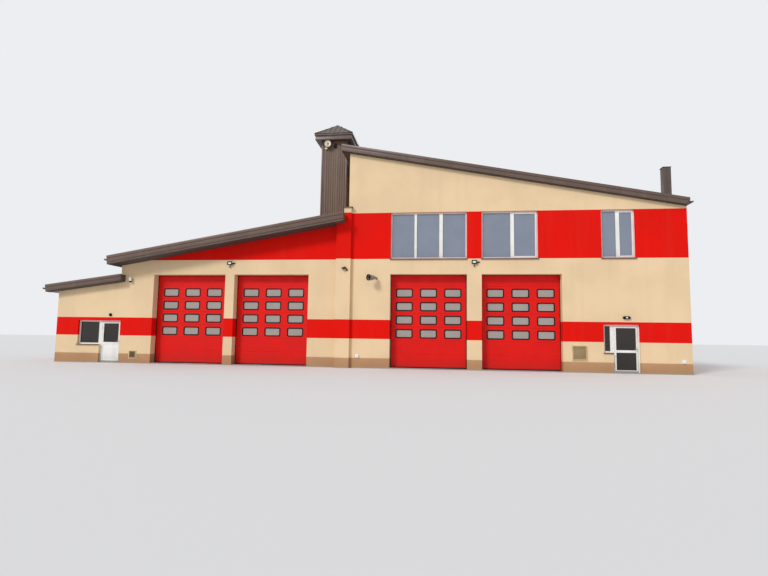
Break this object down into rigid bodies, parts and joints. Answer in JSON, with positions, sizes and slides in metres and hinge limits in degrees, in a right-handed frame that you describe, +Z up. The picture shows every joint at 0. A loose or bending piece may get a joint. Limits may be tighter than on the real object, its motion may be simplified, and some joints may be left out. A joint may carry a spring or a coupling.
{
  "type": "fire station building",
  "caption": "Fire station with a tall two-storey block, a low garage block, an annex, mono-pitch roofs and a hose tower.",
  "frame": {"origin": "middle of the footprint, on the underside of the ground slab", "axes": "+X to the right along the street front, +Y to the rear, +Z up; the street front faces -Y"},
  "size_m": [29.62, 12.598, 12.28],
  "materials": {
    "concrete": "trowelled concrete",
    "render": "fine mineral render, painted warm beige with red bands and a brown plinth",
    "roof_metal": "folded sheet, dark brown, satin",
    "verge_board": "folded flashing, brown, satin",
    "rainwater": "dark brown, satin",
    "cladding": "ribbed sheet, dark brown, satin",
    "door_red": "signal red enamel, half gloss",
    "glass": "clear double glazing",
    "white_frame": "white window profile, satin",
    "sill_metal": "folded sill, brown",
    "grille": "grey beige paint",
    "fitting": "weatherproof housing"
  },
  "bodies": {
    "building": {"ground_slab": "concrete", "upper_floor": "concrete", "tall_front_piers": "render", "tall_front_wall": "render", "entrance_wall": "render", "tall_rear_wall": "render", "tall_side_walls": "render", "fire_wall": "render", "fire_wall_head": "render", "pilaster": "render", "low_front_piers": "render", "low_front_wall": "render", "low_rear_wall": "render", "low_left_wall": "render", "annex_front_pier": "render", "annex_front_wall": "render", "annex_left_wall": "render", "annex_rear_wall": "render", "tall_roof": "roof_metal", "low_roof": "roof_metal", "annex_roof": "roof_metal", "fire_wall_coping": "roof_metal", "tower_roof": "roof_metal", "flue": "roof_metal", "verge_boards": "verge_board", "gutters": "rainwater", "downpipes": "rainwater", "tower_walls": "cladding", "garage_door_1": "door_red", "garage_door_2": "door_red", "garage_door_3": "door_red", "garage_door_4": "door_red", "garage_door_glass": "glass", "window_glass": "glass", "upper_window_frames": "white_frame", "entrance_frame": "white_frame", "annex_frame": "white_frame", "window_sills": "sill_metal", "wall_grilles": "grille", "wall_lamps": "fitting", "horns": "fitting", "wall_boxes": "fitting"},
    "entrance_door": {"entrance_leaf": "white_frame", "entrance_leaf_glass": "glass"},
    "annex_door": {"annex_leaf": "white_frame", "annex_leaf_glass": "glass"}
  },
  "joints": [
    {"name": "entrance_hinge", "type": "hinge", "parent": "building", "child": "entrance_door", "pos_m": [11.347, -5.396, 1], "axis": [0, 0, -1], "range_deg": [0, 95]},
    {"name": "annex_hinge", "type": "hinge", "parent": "building", "child": "annex_door", "pos_m": [-12.083, -5.286, 1], "axis": [0, 0, -1], "range_deg": [0, 95]}
  ]
}
